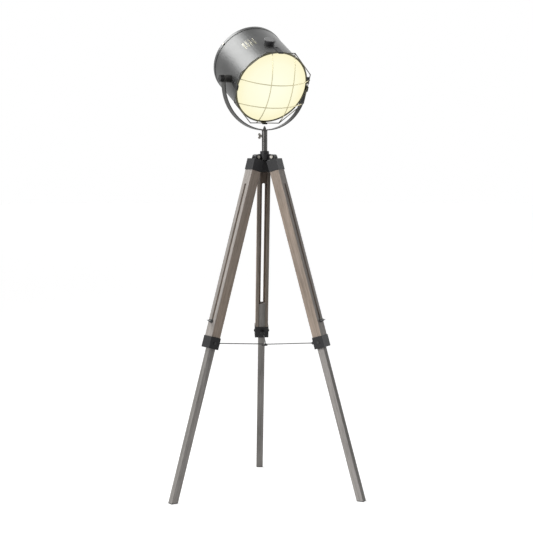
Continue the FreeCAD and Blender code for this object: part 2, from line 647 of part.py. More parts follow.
def make_tilt_knob(side, sign, turn):
    """A lobed hand knob on the tilt bolt's end, outside the yoke."""
    start = "(%s * (yoke_out + face_gap))" % sign
    core = rod(side + "_knob_core", "knob_radius", "knob_high", start, "0", "0", turn)
    lobes = []
    for index in range(6):
        angle = "(%d * 60)" % index
        lobes.append(rod("%s_knob_lobe_%d" % (side, index), "knob_lobe", "knob_high", start,
                         "knob_radius * cos(%s)" % angle, "knob_radius * sin(%s)" % angle, turn))
    bore = rod(side + "_knob_bore", "tilt_bolt_radius + running_gap", "knob_high", start, "0", "0", turn)
    place(bore, "%s * (yoke_out + face_gap - 2)" % sign, "0", "0", turn)
    node(cut(side + "_knob", fuse(side + "_knob_blank", [core] + lobes), [bore]), side + "_tilt_knob", YOKE)


# ---- head ----

def around(name, radius, height, out, at, angle):
    """A cylinder pointing out of the drum, at a distance along its axis and an angle from its top."""
    item = doc.addObject("Part::Cylinder", name)
    bind(item, Radius=radius, Height=height)
    spot = frame_of("0", "0", at, ("0;0;1", angle), ("1;0;0", "-90"))
    shift = " * placement(vector(0;0;%s); rotation(vector(0;0;1); 0))" % expand(out)
    item.setExpression("Placement", spot + shift)
    return item


def make_drum():
    tube = rod("drum_outer", "drum_radius", "drum_front + drum_back", z="-drum_back")
    bore = rod("drum_inner", "drum_in", "drum_front + drum_back + 2", z="-drum_back - 1")
    tools = [bore]
    for index in range(4):
        angle = "(vent_first + %d * vent_step)" % index
        run = box("vent_run_%d" % index, ("-vent_width / 2", "vent_width / 2"),
                  ("drum_in - 5", "drum_radius + 5"),
                  ("-vent_at - (vent_length - vent_width) / 2", "-vent_at + (vent_length - vent_width) / 2"))
        ends = []
        for end, sign in (("a", "-"), ("b", "+")):
            ends.append(rod("vent_end_%d%s" % (index, end), "vent_width / 2", "drum_wall + 10", "0",
                            "drum_in - 5", "-vent_at %s (vent_length - vent_width) / 2" % sign, TO_Y))
        vent = fuse("vent_%d" % index, [run] + ends)
        vent.setExpression("Placement", frame_of("0", "0", "0", ("0;0;1", angle)))
        tools.append(vent)
    for side, turn in (("left", TO_MINUS_X), ("right", TO_X)):
        tools.append(rod("drum_bolt_hole_" + side, "tilt_bolt_radius + fit_gap", "drum_radius + 5",
                         turn=turn))
    for index in range(4):
        tools.append(around("drum_clip_hole_%d" % index, "clip_screw + fit_gap", "20", "drum_in - 10",
                            "drum_front - bezel_skirt - clip_foot * 0.6", "%d * 90" % index))
    for index in range(3):
        tools.append(around("drum_lid_hole_%d" % index, "small_screw + fit_gap", "20", "drum_in - 10",
                            "lid_skirt / 2 - drum_back", "%d * 120 + 60" % index))
    node(cut("drum", tube, tools), "drum_shell", HEAD)


def make_rear_lid():
    back = "(-drum_back - lid_wall)"
    edge = "(lid_skirt - drum_back - lid_wall)"
    lid = turned("lid", [
        ("0", "-drum_back - lid_bulge"), ("drum_radius * 0.78", "-drum_back - lid_bulge"),
        ("drum_radius * 0.84", "-drum_back"), ("drum_radius + seat_gap", "-drum_back"),
        ("drum_radius + seat_gap", edge),
        ("lid_out", edge), ("lid_out", back), ("drum_radius * 0.835", back),
        ("drum_radius * 0.775", back + " - lid_bulge"), ("0", back + " - lid_bulge"),
    ])
    tools = [rod("lid_gland_hole", "gland_radius * 0.8 + fit_gap", "30", "0", "-gland_drop",
                 "-drum_back - 20")]
    for index in range(3):
        tools.append(around("lid_hole_%d" % index, "small_screw + fit_gap", "20", "drum_in - 10",
                            "lid_skirt / 2 - drum_back", "%d * 120 + 60" % index))
    for side in ("-", ""):
        tools.append(rod("lid_bracket_hole_" + ("a" if side else "b"), "small_screw + fit_gap", "30",
                         side + "bracket_bolt", "0", "-drum_back - 20"))
    node(cut("lid_cut", lid, tools), "rear_lid", HEAD)


def make_lid_screws():
    screws = []
    for index in range(3):
        angle = "%d * 120 + 60" % index
        at = "lid_skirt / 2 - drum_back"
        head = around("lid_head_%d" % index, "small_screw * 2", "2", "lid_out", at, angle)
        shank = around("lid_shank_%d" % index, "small_screw", "lid_wall + drum_wall + 4", "lid_out - 5", at,
                       angle)
        screws.append(fuse("lid_screw_%d" % index, [head, shank]))
    node(group("lid_screws", screws), "rear_lid_screws", HEAD)


def make_bezel():
    """A rolled front ring: a skirt over the drum, a bead and a lip over the lens's rim."""
    bezel = turned("bezel", [
        ("bezel_in", "drum_front - bezel_skirt"), ("bezel_out", "drum_front - bezel_skirt"),
        ("bezel_out", "drum_front - 2"), ("bezel_radius", "drum_front + 0.5"),
        ("bezel_radius", "bezel_seat"), ("bezel_radius - bezel_wall", "bezel_nose"),
        ("bezel_mouth", "bezel_nose"), ("bezel_mouth", "bezel_seat"),
        ("bezel_radius - bezel_wall", "bezel_seat"), ("bezel_radius - bezel_wall", "drum_front + 1"),
        ("bezel_in", "drum_front - 1.4"),
    ])
    node(bezel, "front_bezel", HEAD)


def make_lens():
    """A diffuser crowned outward, and the gasket it sits on."""
    lens = turned("lens", [
        ("0", "lens_back + lens_dome"), ("lens_radius * 0.35", "lens_back + lens_dome * 0.87"),
        ("lens_radius * 0.7", "lens_back + lens_dome * 0.5"), ("lens_radius * 0.94", "lens_back"),
        ("lens_radius", "lens_back"), ("lens_radius", "lens_back + lens_thick"),
        ("lens_radius * 0.94", "lens_back + lens_thick"),
        ("lens_radius * 0.7", "lens_back + lens_thick + lens_dome * 0.5"),
        ("lens_radius * 0.35", "lens_back + lens_thick + lens_dome * 0.87"),
        ("0", "lens_back + lens_thick + lens_dome"),
    ])
    node(lens, "diffuser_lens", HEAD)
    gasket = turned("gasket", [
        ("gasket_mouth", "drum_front"), ("drum_radius", "drum_front"),
        ("drum_radius", "drum_front + gasket_high * 0.6"),
        ("lens_radius + 0.5", "lens_back"), ("gasket_mouth", "lens_back"),
    ])
    node(gasket, "lens_gasket", HEAD)


def pipe(edges, radius, corners):
    """A round wire of a radius along a path of edges; corners: 0 follows bends, 1 mitres them."""
    start = edges[0].valueAt(edges[0].FirstParameter)
    along = edges[0].tangentAt(edges[0].FirstParameter)
    ring = Part.Wire([Part.makeCircle(radius, start, along)])
    return Part.Wire(edges).makePipeShell([ring], True, False, corners)


def octagon_ring(radius):
    """The guard's ring: eight straight runs, starting from the middle of one."""
    spots = []
    for index in range(8):
        angle = math.radians(22.5 + 45 * index)
        reach = value("guard_radius")
        spots.append(FreeCAD.Vector(reach * math.cos(angle), reach * math.sin(angle), value("guard_at")))
    middle = (spots[0] + spots[-1]) * 0.5
    path = [middle] + spots + [middle]
    edges = [Part.makeLine(path[index], path[index + 1]) for index in range(9)]
    return pipe(edges, radius, 1)


def make_guard():
    """The wire guard: an octagon, two upright and two level wires that bulge over the lens."""
    side = value("guard_side")
    base = value("guard_at")
    wires = []
    for name, upright in (("wire_right", True), ("wire_left", True), ("wire_low", False),
                          ("wire_high", False)):
        at = value(name)
        crown = base + value("guard_rise") * (1 - (at / side) ** 2)
        spots = ((at, -side, base), (at, 0, crown), (at, side, base))
        if not upright:
            spots = [(y, x, z) for x, y, z in spots]
        arc = Part.Arc(*[FreeCAD.Vector(*spot) for spot in spots]).toShape()
        wires.append(pipe([arc], value("guard_wire") * (0.93 if upright else 0.96), 0))
    guard = doc.addObject("Part::Feature", "guard")
    guard.Shape = octagon_ring(value("guard_wire")).fuse(wires)
    node(guard, "wire_guard", HEAD)


def make_clips():
    """Four bent clips that hold the octagon's sides to the drum, each with a screw."""
    clips = []
    screws = []
    foot = "(drum_front - bezel_skirt)"
    hook = "(guard_at + guard_wire + fit_gap)"
    outer = "(guard_side + guard_wire + fit_gap)"
    for index in range(4):
        inside = [
            ("drum_radius + fit_gap", foot + " - clip_foot"), ("drum_radius + fit_gap", foot + " - 2"),
            ("bezel_out + fit_gap", foot + " - 0.4"), ("bezel_out + fit_gap", "drum_front - 2.2"),
            ("bezel_radius + fit_gap", "drum_front + 0.4"), ("bezel_radius + fit_gap", "drum_front + 3"),
            (outer, "guard_at - 3"), (outer, hook), (outer + " - 3.5", hook),
        ]
        outside = [
            (outer + " - 3.5", hook + " + clip_thick"), (outer + " + clip_thick", hook + " + clip_thick"),
            (outer + " + clip_thick", "guard_at - 2.8"),
            ("bezel_radius + fit_gap + clip_thick", "drum_front + 3.2"),
            ("bezel_radius + fit_gap + clip_thick", "drum_front - 0.2"),
            ("bezel_out + fit_gap + clip_thick", "drum_front - 3"),
            ("bezel_out + fit_gap + clip_thick", foot + " - 0.8"),
            ("drum_radius + fit_gap + clip_thick", foot + " - 2.4"),
            ("drum_radius + fit_gap + clip_thick", foot + " - clip_foot"),
        ]
        strap = padded("clip_strap_%d" % index, "XZ_Plane", inside + outside, "clip_width")
        at = foot + " - clip_foot * 0.6"
        hole = rod("clip_hole_%d" % index, "clip_screw + fit_gap", "10", "drum_radius - 4", "0", at, TO_X)
        clip = cut("clip_%d" % index, strap, [hole])
        clip.setExpression("Placement", frame_of("0", "0", "0", ("0;0;1", "%d * 90" % index)))
        clips.append(clip)
        face = "drum_radius + fit_gap + clip_thick"
        head = around("clip_head_%d" % index, "clip_screw * 2", "2.4", face, at, "%d * 90" % index)
        shank = around("clip_shank_%d" % index, "clip_screw", "clip_thick + drum_wall + 4",
                       face + " - clip_thick - drum_wall - 4", at, "%d * 90" % index)
        screws.append(fuse("clip_screw_%d" % index, [head, shank]))
    node(group("clips", clips), "guard_clips", HEAD)
    node(group("clip_screws", screws), "guard_clip_screws", HEAD)


def make_vent_cap():
    """A round, flat vent cap standing on the drum, close to its top line."""
    base = "(drum_radius * cos(asin(vent_cap_radius / drum_radius)) - 1)"
    top = "(drum_radius + vent_cap_high)"
    cap = turned("vent_cap_body", [
        ("0", base), ("vent_cap_radius * 0.86", base),
        ("vent_cap_radius * 0.86", top + " - vent_cap_high * 0.6"),
        ("vent_cap_radius", top + " - vent_cap_high * 0.55"),
        ("vent_cap_radius", top + " - vent_cap_high * 0.15"),
        ("vent_cap_radius * 0.93", top), ("0", top),
    ])
    cap.setExpression("Placement", frame_of("0", "0", "-vent_cap_back", ("1;0;0", "-90")))
    drum = rod("vent_cap_saddle", "drum_radius + fit_gap", "6 * vent_cap_radius", z="-3 * vent_cap_radius")
    turn = " * placement(vector(0;0;0); rotation(vector(0;0;1); %s))" % expand("vent_cap_turn")
    node(cut("vent_cap", cap, [drum]), "top_vent_cap", HEAD + turn)


def make_tilt_bolts():
    bolts = []
    for side, sign, turn in (("left", "-1", TO_MINUS_X), ("right", "1", TO_X)):
        face = "(drum_in * cos(asin(tilt_head_radius / drum_in)) - 0.05)"
        head = hexagon("tilt_head_" + side, "tilt_head_radius", "tilt_head_high",
                       "%s * (%s - tilt_head_high)" % (sign, face), "0", "0", turn)
        shank = rod("tilt_shank_" + side, "tilt_bolt_radius",
                    "yoke_out + face_gap + knob_high * 0.7 - %s" % face,
                    "%s * %s" % (sign, face), "0", "0", turn)
        bolts.append(fuse("tilt_bolt_" + side, [head, shank]))
    node(group("tilt_bolts", bolts), "tilt_bolts", HEAD)


def make_spacers():
    """Two bushes saddled on the drum, between it and the yoke's arms."""
    spacers = []
    for side, turn in (("left", TO_MINUS_X), ("right", TO_X)):
        bush = rod("spacer_bush_" + side, "spacer_radius", "spacer_out", turn=turn)
        drum = rod("spacer_saddle_" + side, "drum_radius + fit_gap", "6 * spacer_radius",
                   z="-3 * spacer_radius")
        hole = rod("spacer_hole_" + side, "tilt_bolt_radius + fit_gap", "spacer_out + 1", turn=turn)
        spacers.append(cut("spacer_" + side, bush, [drum, hole]))
    node(group("spacers", spacers), "tilt_spacers", HEAD)


def make_lamp_holder():
    back = "(-holder_back)"
    front = "(-holder_front)"
    holder = turned("holder", [
        ("0", back), ("holder_radius * 0.8", back), ("holder_radius", back + " + 6"),
        ("holder_radius", front + " - 8"),
        ("holder_radius * 0.92", front + " - 2"), ("holder_radius * 0.92", front), ("holder_bore", front),
        ("holder_bore", back + " + holder_floor"), ("0", back + " + holder_floor"),
    ])
    node(holder, "lamp_holder", HEAD)
    shell = turned("shell", [
        ("bulb_cap_radius + fit_gap + shell_wall", back + " + holder_floor"),
        ("bulb_cap_radius + fit_gap + shell_wall", "-bulb_cap_front"),
        ("bulb_cap_radius + fit_gap", "-bulb_cap_front"),
        ("bulb_cap_radius + fit_gap", back + " + holder_floor"),
    ])
    node(shell, "holder_screw_shell", HEAD)
    hat = padded("bracket_hat", "XZ_Plane", [
        ("-bracket_span / 2", "-lid_inner"), ("-bracket_span / 3", "-lid_inner"),
        ("-bracket_span / 3", "-holder_back - bracket_thick"),
        ("bracket_span / 3", "-holder_back - bracket_thick"),
        ("bracket_span / 3", "-lid_inner"), ("bracket_span / 2", "-lid_inner"),
        ("bracket_span / 2", "-bracket_back"), ("bracket_span / 3 + bracket_thick", "-bracket_back"),
        ("bracket_span / 3 + bracket_thick", "-holder_back"),
        ("-bracket_span / 3 - bracket_thick", "-holder_back"),
        ("-bracket_span / 3 - bracket_thick", "-bracket_back"), ("-bracket_span / 2", "-bracket_back"),
    ], "bracket_width")
    holes = []
    for name, sign in (("a", "-"), ("b", "")):
        holes.append(rod("bracket_hole_" + name, "small_screw + fit_gap", "bracket_thick + 2",
                         sign + "bracket_bolt", "0", "-lid_inner - 1"))
    node(cut("bracket", hat, holes), "holder_bracket", HEAD)


def make_bulb():
    cap_back = "(-bulb_cap_back)"
    cap_front = "(-bulb_cap_front)"
    cap = turned("bulb_cap_body", [
        ("0", cap_back), ("bulb_cap_radius * 0.4", cap_back), ("bulb_cap_radius", cap_back + " + 4"),
        ("bulb_cap_radius", cap_front), ("0", cap_front),
    ])
    node(cap, "bulb_cap", HEAD)
    globe = turned("bulb_glass", [
        ("0", cap_front), ("bulb_cap_radius", cap_front),
        ("bulb_cap_radius * 1.1", cap_front + " + bulb_length * 0.1"),
        ("bulb_radius * 0.72", cap_front + " + bulb_length * 0.3"),
        ("bulb_radius * 0.95", cap_front + " + bulb_length * 0.48"),
        ("bulb_radius", cap_front + " + bulb_length * 0.62"),
        ("bulb_radius * 0.94", cap_front + " + bulb_length * 0.77"),
        ("bulb_radius * 0.72", cap_front + " + bulb_length * 0.9"),
        ("bulb_radius * 0.4", cap_front + " + bulb_length * 0.975"),
        ("0", cap_front + " + bulb_length"),
    ])
    node(globe, "bulb_globe", HEAD)


def make_gland():
    """The supply cord's inlet through the rear lid."""
    start = "(-lid_inner - lid_wall)"
    body = hexagon("gland_hex", "gland_radius", "5", "0", "-gland_drop", start + " - 5")
    dome = rod("gland_dome", "gland_radius * 0.7", "14", "0", "-gland_drop", start + " - 14")
    neck = rod("gland_neck", "gland_radius * 0.8", "8", "0", "-gland_drop", start)
    place(neck, "0", "-gland_drop", start + " - 1")
    nut = hexagon("gland_nut", "gland_radius", "3", "0", "-gland_drop", "-lid_inner")
    bore = rod("gland_hole", "gland_bore", "40", "0", "-gland_drop", start + " - 20")
    node(cut("gland", fuse("gland_blank", [body, dome, neck, nut]), [bore]), "cable_gland", HEAD)


def make_bracket_screws():
    """Two screws from behind, through the lid and the bracket's feet, each with a nut."""
    screws = []
    back = "-lid_inner - lid_wall"
    for name, sign in (("a", "-"), ("b", "")):
        x = sign + "bracket_bolt"
        head = rod("bracket_head_" + name, "small_screw * 2", "2", x, "0", back + " - 2")
        shank = rod("bracket_shank_" + name, "small_screw", "lid_wall + bracket_thick + 3", x, "0", back)
        nut = rod("bracket_nut_" + name, "small_screw * 1.9", "2.4", x, "0", "-bracket_back")
        screws.append(fuse("bracket_screw_" + name, [head, shank, nut]))
    node(group("bracket_screws_pair", screws), "bracket_screws", HEAD)


def write_parts():
    """Check every object, then write each piece to its own file."""
    doc.recompute()
    faults = [item.Name for item in doc.Objects if "Invalid" in item.State or "Error" in item.State]
    if faults:
        raise RuntimeError("failed objects: " + ", ".join(faults))
    for item in nodes:
        if item.Shape.isNull() or not item.Shape.isValid() or not item.Shape.Solids:
            raise RuntimeError("bad shape: " + item.Label)
    os.makedirs("parts", exist_ok=True)
    for item in nodes:
        item.Shape.exportStep("parts/%s.step" % item.Label)


fill_sheet()
make_hub()
make_post()
make_post_screw()
make_hinge_bolts()
for leg_name, leg_azimuth in LEGS:
    make_leg_cap(leg_name, leg_azimuth)
    make_upper_leg(leg_name, leg_azimuth)
    make_sleeve(leg_name, leg_azimuth)
    make_sleeve_screws(leg_name, leg_azimuth)
    make_spreader_pin(leg_name, leg_azimuth)
    make_spreader_rod(leg_name, leg_azimuth)
    make_lower_leg(leg_name, leg_azimuth)
    make_leg_screw(leg_name, leg_azimuth)
make_spreader_plate()
make_yoke()
make_spigot()
make_tilt_knob("left", "-1", TO_MINUS_X)
make_tilt_knob("right", "1", TO_X)
make_drum()
make_rear_lid()
make_lid_screws()
make_bezel()
make_lens()
make_guard()
make_clips()
make_vent_cap()
make_tilt_bolts()
make_spacers()
make_lamp_holder()
make_bulb()
make_bracket_screws()
make_gland()
write_parts()
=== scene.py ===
import bpy
import json
import math
from mathutils import Euler, Matrix, Vector


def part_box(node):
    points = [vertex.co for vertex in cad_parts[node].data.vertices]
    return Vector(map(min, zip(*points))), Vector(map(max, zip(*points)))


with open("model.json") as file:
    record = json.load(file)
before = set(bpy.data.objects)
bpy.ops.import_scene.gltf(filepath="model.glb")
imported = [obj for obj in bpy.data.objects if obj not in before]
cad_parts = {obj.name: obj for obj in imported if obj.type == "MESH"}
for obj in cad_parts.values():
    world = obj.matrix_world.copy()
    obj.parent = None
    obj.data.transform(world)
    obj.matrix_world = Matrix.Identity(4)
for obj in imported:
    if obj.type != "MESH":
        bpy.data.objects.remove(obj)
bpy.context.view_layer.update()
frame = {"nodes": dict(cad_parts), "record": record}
scene = bpy.context.scene
nodes = frame["nodes"]

# ---- where things are, as the solids have them, in metres and radians ----

# The tripod's axis, from the post.
post_low, post_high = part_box("post_tube")
AXIS = Vector(((post_low[0] + post_high[0]) / 2, (post_low[1] + post_high[1]) / 2, 0))

LEG_AZIMUTHS = {"rear": 0, "left": 120, "right": 240}
LEG_ANGLE = math.radians(16.2)
HINGE_OUT = 0.032
HINGE_HEIGHT = 1.0946
# Where a leg's inner face ends and its outer face begins, each a narrow band, along its frame's Y.
UPPER_FACES = ((-0.0159, -0.0155), (0.0155, 0.0159))
LOWER_FACES = ((-0.0142, -0.0138), (0.0072, 0.0076))

joints = {item["name"]: item for item in frame["record"]["behaviour"]["joints"]}
PIVOT = Vector(joints["head_tilt"]["pos_m"])
HEAD_TURN = math.radians(22.8)
HEAD_TILT = math.radians(28)
DRUM_RADIUS = 0.1225
# How deep in the drum's wall the gunmetal ends and the enamel begins.
ENAMEL_DEPTH = 0.0006
LENS_RADIUS = 0.121
# Along the head's Z, the ring's lip begins here.
RING_LIP = 0.0585
# The vent cap's place round the head's Z, and its top from there.
VENT_CAP_TURN = math.radians(3.5)
VENT_CAP_TOP = DRUM_RADIUS + 0.014


def leg_matrix(azimuth):
    """A leg's own frame: X across, Y outward, Z up along it, zero at the hinge."""
    spin = Matrix.Rotation(math.radians(azimuth), 4, "Z")
    move = Matrix.Translation(Vector((0, HINGE_OUT, HINGE_HEIGHT)))
    return Matrix.Translation(AXIS) @ spin @ move @ Matrix.Rotation(LEG_ANGLE, 4, "X")


def head_matrix():
    """The head's own frame: X along the tilt axis, Y to the drum's top, Z out of the lens."""
    turn = Matrix.Rotation(HEAD_TURN, 4, "Z")
    return Matrix.Translation(PIVOT) @ turn @ Matrix.Rotation(math.pi / 2 + HEAD_TILT, 4, "X")


HEAD = head_matrix()
VENT_CAP = HEAD @ Matrix.Rotation(VENT_CAP_TURN, 4, "Z")

# ---- colours ----

SHEET_LIGHT = (0.092, 0.093, 0.092)
SHEET_DARK = (0.074, 0.075, 0.074)
ENAMEL = (0.87, 0.87, 0.85)
RING_FACE = (0.10, 0.094, 0.06)
WIRE_DARK = (0.075, 0.073, 0.068)
# Pale bronze painted on the wire over the lens: a painted highlight for the glow behind it.
WIRE_LENS_GLARE = (0.60, 0.55, 0.36)
CAP_WALL = (0.012, 0.012, 0.013)
# Grey of the vent cap's top: painted light, where its top faces up.
CAP_TOP_PAINTED_LIGHT = (0.16, 0.16, 0.16)
GLASS = (0.06, 0.058, 0.05)
GLOW_MIDDLE = (0.95, 0.95, 0.74)
GLOW_HALFWAY = (0.95, 0.93, 0.68)
GLOW_EDGE = (0.94, 0.88, 0.58)
BULB_GLASS = (0.9, 0.88, 0.82)
BULB_GLOW = ((1.0, 0.94, 0.8), (1.0, 0.97, 0.88))
PORE = (0.4, 0.37, 0.35)
# Tones of a leg's faces. The darker inner tone is painted shade on the faces that turn in towards the tripod's
# middle.
UPPER_TONES = {
    "side": (0.35, 0.285, 0.235),
    "outer": (0.285, 0.265, 0.248),
    "inner": (0.19, 0.163, 0.14),
    "worn": (0.39, 0.345, 0.31),
}
LOWER_TONES = {
    "side": (0.33, 0.31, 0.295),
    "outer": (0.215, 0.205, 0.193),
    "inner": (0.205, 0.196, 0.186),
    "worn": (0.36, 0.34, 0.325),
}
# The two greys of the floor's mottling.
FLOOR_TONES = (0.48, 0.5)
WHITE = (1, 1, 1)

# ---- camera and light ----

# The camera's place from the tripod's axis in metres, its turns in degrees, its lens and sensor in millimetres.
CAMERA_FROM_AXIS = (-0.2468, -4.6714)
CAMERA_HEIGHT = 1.118
CAMERA_DOWN = 4.64
CAMERA_TURN = -3.1
CAMERA_LENS = 97.23
CAMERA_SENSOR = 36
CAMERA_REACH = 60

FLOOR_RADIUS = 26
FLOOR_SIDES = 96
# Just under the feet, so that no face lies in it.
FLOOR_HEIGHT = -0.0005
# How bright the floor is by itself where it is seen as background, and the world where it lights the lamp.
FLOOR_WHITE = 0.75
SKY_FILL = 0.12

# Far lights: the direction towards each, its level, and its width in degrees.
FAR_LIGHTS = {
    "key": ((-0.7, -0.66, 0.27), 0.72, 30),
    "right": ((0.95, 0.1, 0.3), 0.28, 30),
    "back right": ((0.2, 0.93, 0.35), 0.1, 44),
}
FAR_LIGHT_HEIGHT = 4
SOFTBOX_PLACE = (-1.55, 0.8, 3.1)
SOFTBOX_SIDE = 1.6
SOFTBOX_POWER = 72


# ---- materials ----

def rgba(color):
    """A colour of three numbers, or a grey level, as an opaque colour of four."""
    if isinstance(color, (int, float)):
        color = (color, color, color)
    return (*color, 1)


class Nodes:
    """A small helper round a material's node tree."""

    def __init__(self, name, tree=None):
        """A new material's tree, or the tree that is given."""
        if tree is None:
            self.material = bpy.data.materials.new(name)
            self.material.use_nodes = True
            tree = self.material.node_tree
            self.shader = tree.nodes["Principled BSDF"]
        self.tree = tree

    def add(self, kind):
        """A new node of the kind."""
        return self.tree.nodes.new(kind)

    def link(self, source, target):
        """Lead a node's output to an input."""
        self.tree.links.new(source, target)

    def feed(self, item, target):
        """Give an input a number, a colour of three numbers or another node's output."""
        if isinstance(item, (int, float)):
            target.default_value = item
        elif isinstance(item, tuple):
            target.default_value = rgba(item)
        else:
            self.link(item, target)

    def surface(self, looks):
        """Feed the shader's inputs, by name."""
        for socket, item in looks.items():
            self.feed(item, self.shader.inputs[socket])

    def coords(self):
        """Object coordinates, which are the part's own frame."""
        return self.add("ShaderNodeTexCoord").outputs["Object"]

    def local(self, matrix):
        """Object coordinates taken into a piece's own frame."""
        inverse = matrix.inverted()
        mapping = self.add("ShaderNodeMapping")
        mapping.inputs["Location"].default_value = inverse.to_translation()
        mapping.inputs["Rotation"].default_value = inverse.to_euler("XYZ")
        self.link(self.coords(), mapping.inputs["Vector"])
        return mapping.outputs["Vector"]

    def stretch(self, vector, across, along):
        """Coordinates scaled across and along Z, which draws a noise out where they are scaled least."""
        mapping = self.add("ShaderNodeMapping")
        mapping.inputs["Scale"].default_value = (across, across, along)
        self.link(vector, mapping.inputs["Vector"])
        return mapping.outputs["Vector"]

    def noise(self, vector, scale, detail, rough=0.6, distort=0.0):
        """Noise from 0 to 1, most of it near the middle."""
        node = self.add("ShaderNodeTexNoise")
        node.inputs["Scale"].default_value = scale
        node.inputs["Detail"].default_value = detail
        node.inputs["Roughness"].default_value = rough
        node.inputs["Distortion"].default_value = distort
        self.link(vector, node.inputs["Vector"])
        return node.outputs["Fac"]

    def ramp(self, value, *stops):
        """Colours against a value: each stop is where it lies and its colour."""
        node = self.add("ShaderNodeValToRGB")
        ramp = node.color_ramp
        while len(ramp.elements) < len(stops):
            ramp.elements.new(0.5)
        for element, (at, color) in zip(ramp.elements, stops):
            element.position = at
            element.color = rgba(color)
        self.link(value, node.inputs["Fac"])
        return node.outputs["Color"]

    def tones(self, noise, low, high):
        """Two colours over the part of a noise's range that it mostly fills."""
        return self.ramp(noise, (0.3, low), (0.7, high))

    def math(self, operation, first, second=None):
        """A math node on one or two values, each a number or another node's output."""
        node = self.add("ShaderNodeMath")
        node.operation = operation
        self.feed(first, node.inputs[0])
        if second is not None:
            self.feed(second, node.inputs[1])
        return node.outputs["Value"]

    def axes(self, vector):
        """A vector's parts, by the names X, Y and Z."""
        node = self.add("ShaderNodeSeparateXYZ")
        self.link(vector, node.inputs["Vector"])
        return node.outputs

    def fade(self, value, low, high):
        """0 below low, 1 above high, even between."""
        node = self.add("ShaderNodeMapRange")
        node.inputs["From Min"].default_value = low
        node.inputs["From Max"].default_value = high
        self.link(value, node.inputs["Value"])
        return node.outputs["Result"]

    def from_axis(self, vector):
        """Distance from the frame's Z axis."""
        part = self.axes(vector)
        squares = [self.math("MULTIPLY", part[name], part[name]) for name in ("X", "Y")]
        return self.math("SQRT", self.math("ADD", *squares))

    def bump(self, height, strength, depth, eased=0.0):
        """Relief from a height, and edges eased in the shading by a radius."""
        node = self.add("ShaderNodeBump")
        node.inputs["Strength"].default_value = strength
        node.inputs["Distance"].default_value = depth
        self.link(height, node.inputs["Height"])
        if eased:
            bevel = self.add("ShaderNodeBevel")
            bevel.samples = 4
            bevel.inputs["Radius"].default_value = eased
            self.link(bevel.outputs["Normal"], node.inputs["Normal"])
        self.link(node.outputs["Normal"], self.shader.inputs["Normal"])

    def color_mix(self, factor, first, second, blend="MIX"):
        """Two colours mixed by a factor, each of the three given as feed takes it."""
        node = self.add("ShaderNodeMixRGB")
        node.blend_type = blend
        for item, socket in zip((factor, first, second), node.inputs):
            self.feed(item, socket)
        return node.outputs["Color"]


def wood(name, place, faces, tones, wear):
    """Weathered oak, its grain along the piece: long streaks, fine grain, pores and scuffed patches."""
    m = Nodes(name)
    at = m.local(place)
    streak = m.noise(m.stretch(at, across=60, along=2.2), scale=1.6, detail=5, distort=0.6)
    fine = m.noise(m.stretch(at, across=420, along=9), scale=1.4, detail=4, rough=0.65)
    pores = m.noise(m.stretch(at, across=900, along=28), scale=1.0, detail=2, rough=0.5)
    patch = m.noise(m.stretch(at, across=9, along=5), scale=1.0, detail=3, rough=0.5)
    inner_face, outer_face = faces
    outward = m.axes(at)["Y"]
    color = m.color_mix(m.fade(outward, *outer_face), tones["side"], tones["outer"])
    # The inner faces take the darker inner tone: painted shade.
    color = m.color_mix(m.fade(outward, *inner_face), tones["inner"], color)
    streaks = m.ramp(streak, (0.28, 0.22), (0.5, 0.5), (0.72, 0.74))
    color = m.color_mix(0.55, color, streaks, "OVERLAY")
    color = m.color_mix(0.4, color, m.tones(fine, 0.27, 0.8), "OVERLAY")
    color = m.color_mix(m.ramp(patch, (0.45, 0), (0.75, wear)), color, tones["worn"])
    color = m.color_mix(0.6, color, m.ramp(pores, (0.33, PORE), (0.42, 1)), "MULTIPLY")
    height = m.math("ADD", m.math("MULTIPLY", fine, 0.6), m.math("MULTIPLY", pores, 0.6))
    m.bump(height, strength=0.35, depth=0.0006, eased=0.0012)
    m.surface({
        "Base Color": color,
        "Roughness": m.tones(fine, 0.62, 0.86),
        "Specular IOR Level": 0.25,
    })
    return m.material


def metal(name, light, dark, roughness, metallic=1.0, brushed=None, gloss=0.5):
    """Metal or paint with faint clouding and specks, or with a grain brushed round the Z of the frame given."""
    clouding = 0.08
    brushing = 0.12
    eased = 0.0006
    m = Nodes(name)
    at = m.coords()
    cloud = m.noise(at, scale=22, detail=4)
    rough = m.math("ADD", m.math("MULTIPLY", cloud, clouding), roughness - clouding / 2)
    if brushed is not None:
        lines = m.noise(m.stretch(m.local(brushed), across=14, along=900), scale=1.0, detail=3)
        rough = m.math("ADD", rough, m.math("MULTIPLY", m.math("SUBTRACT", lines, 0.5), brushing))
        m.bump(lines, strength=0.06, depth=0.0002, eased=eased)
    else:
        m.bump(m.noise(at, scale=900, detail=2, rough=0.5), strength=0.08, depth=0.0002, eased=eased)
    m.surface({
        "Base Color": m.tones(cloud, dark, light),
        "Roughness": rough,
        "Metallic": metallic,
        "Specular IOR Level": gloss,
    })
    return m.material


def sheet(m, at):
    """Satin gunmetal sheet, brushed round the head: its colour and roughness, and the relief."""
    cloud = m.noise(at, scale=16, detail=4)
    lines = m.noise(m.stretch(at, across=5, along=1100), scale=1.0, detail=3)
    color = m.tones(cloud, SHEET_DARK, SHEET_LIGHT)
    color = m.color_mix(0.18, color, m.tones(lines, 0.3, 0.75), "OVERLAY")
    base = m.math("ADD", m.math("MULTIPLY", cloud, 0.06), 0.36)
    rough = m.math("ADD", m.math("MULTIPLY", lines, 0.08), base)
    m.bump(lines, strength=0.05, depth=0.0002)
    return color, rough


def drum_skin(name):
    """Gunmetal outside, white enamel inside."""
    m = Nodes(name)
    at = m.local(HEAD)
    inside = m.math("LESS_THAN", m.from_axis(at), DRUM_RADIUS - ENAMEL_DEPTH)
    color, rough = sheet(m, at)
    m.surface({
        "Base Color": m.color_mix(inside, color, ENAMEL),
        "Metallic": m.math("SUBTRACT", 1.0, inside),
        "Roughness": m.math("MAXIMUM", rough, m.math("MULTIPLY", inside, 0.6)),
    })
    return m.material


